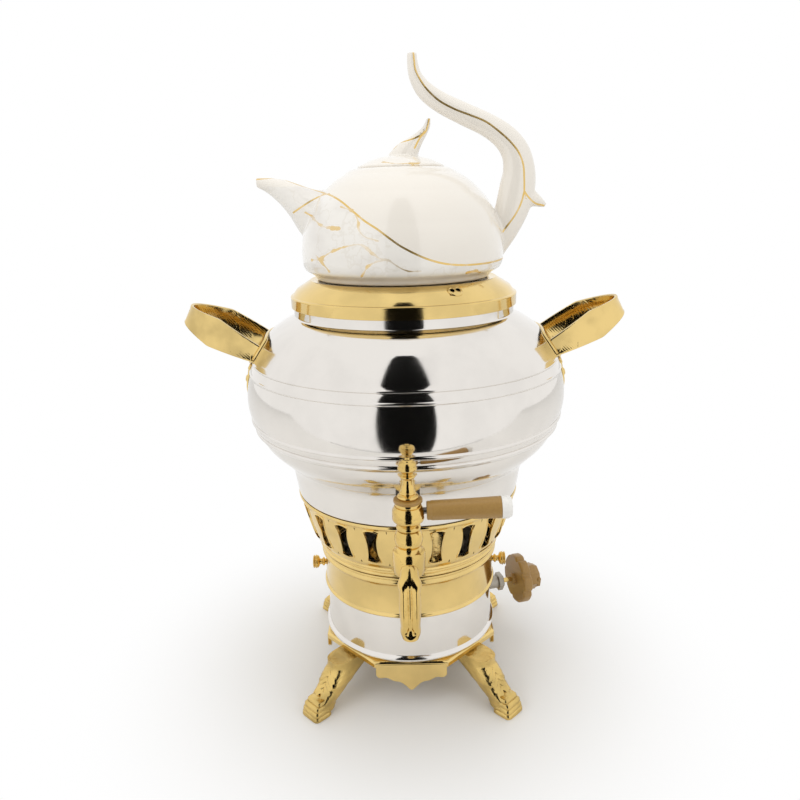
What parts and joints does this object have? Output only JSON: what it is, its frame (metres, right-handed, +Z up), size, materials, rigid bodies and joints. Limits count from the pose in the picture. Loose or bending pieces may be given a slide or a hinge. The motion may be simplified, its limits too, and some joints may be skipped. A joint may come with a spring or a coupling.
{
  "type": "samovar",
  "caption": "Gas-heated samovar with a belly tank, gilded vent ring and footed base, lever tap, side handles and a porcelain teapot on top.",
  "frame": {"origin": "on the samovar's upright axis, at the floor that its four feet stand on", "axes": "+Z up, -Y towards the tap, +X towards the gas knob's side"},
  "size_m": [0.3594, 0.2933, 0.5182],
  "materials": {
    "polished_steel": "mirror-polished stainless sheet",
    "gilded_brass": "gold-plated, polished",
    "polished_brass": "polished brass",
    "white_porcelain": "white glaze with gilt lines and soft marble veins",
    "amber_plastic": "bronze-brown heat-proof plastic",
    "white_plastic": "ivory plastic cap",
    "screw_steel": "plated steel",
    "seal_rubber": "heat-proof rubber",
    "burner_steel": "plain sheet steel",
    "burner_alloy": "cast alloy and drawn tube"
  },
  "bodies": {
    "samovar": {"tank_shell": "polished_steel", "tank_bottom": "polished_steel", "vent_ring": "gilded_brass", "drum_band": "gilded_brass", "base_drum": "polished_steel", "base_frame": "gilded_brass", "front_right_leg": "gilded_brass", "back_right_leg": "gilded_brass", "back_left_leg": "gilded_brass", "front_left_leg": "gilded_brass", "leg_screws": "screw_steel", "left_handle_bracket": "gilded_brass", "left_handle_grip": "gilded_brass", "right_handle_bracket": "gilded_brass", "right_handle_grip": "gilded_brass", "handle_rivets": "gilded_brass", "tap_shank": "polished_brass", "tap_gasket": "seal_rubber", "tap_lock_nut": "polished_brass", "tap_body": "polished_brass", "thumbscrew_nuts": "polished_brass", "valve_body": "polished_brass", "valve_nut": "polished_brass", "burner_tray": "burner_steel", "burner_posts": "burner_steel", "burner_bowl": "burner_alloy", "burner_cap": "polished_brass", "mixing_tube": "burner_alloy", "gas_inlet": "polished_brass", "gas_pipe": "burner_alloy", "gas_jet": "polished_brass", "jet_tube": "burner_alloy"},
    "cover": {"top_cover": "gilded_brass"},
    "teapot": {"teapot_body": "white_porcelain"},
    "lid": {"teapot_lid": "white_porcelain"},
    "tap_key_set": {"tap_plug": "polished_brass", "tap_plug_nut": "polished_brass", "tap_key": "polished_brass", "key_disc": "amber_plastic", "tap_finial": "polished_brass", "lever_rod": "screw_steel", "lever_grip": "amber_plastic", "lever_cap": "white_plastic", "lever_screw": "screw_steel"},
    "gas_knob_set": {"gas_knob": "amber_plastic", "valve_stem": "polished_brass"},
    "left_screw": {"left_thumbscrew": "polished_brass"},
    "right_screw": {"right_thumbscrew": "polished_brass"}
  },
  "joints": [
    {"name": "cover_lift", "type": "slide", "parent": "samovar", "child": "cover", "axis": [0, 0, 1], "range_m": [0, 0.06]},
    {"name": "teapot_lift", "type": "slide", "parent": "cover", "child": "teapot", "axis": [0, 0, 1], "range_m": [0, 0.12]},
    {"name": "lid_lift", "type": "slide", "parent": "teapot", "child": "lid", "axis": [0, -0.8211, 0.5708], "range_m": [0, 0.09]},
    {"name": "tap_turn", "type": "hinge", "parent": "samovar", "child": "tap_key_set", "pos_m": [0, -0.14, 0.19], "axis": [0, 0, 1], "range_deg": [-90, 0]},
    {"name": "gas_knob_turn", "type": "hinge", "parent": "samovar", "child": "gas_knob_set", "pos_m": [0.09094, 0.02608, 0.06], "axis": [0.9613, 0.2756, 0], "range_deg": [0, 180]},
    {"name": "left_screw_turn", "type": "hinge", "parent": "samovar", "child": "left_screw", "pos_m": [-0.08, 0, 0.098], "axis": [-1, 0, 0], "range_deg": [0, 720]},
    {"name": "right_screw_turn", "type": "hinge", "parent": "samovar", "child": "right_screw", "pos_m": [0.08, 0, 0.098], "axis": [1, 0, 0], "range_deg": [0, 720]}
  ]
}
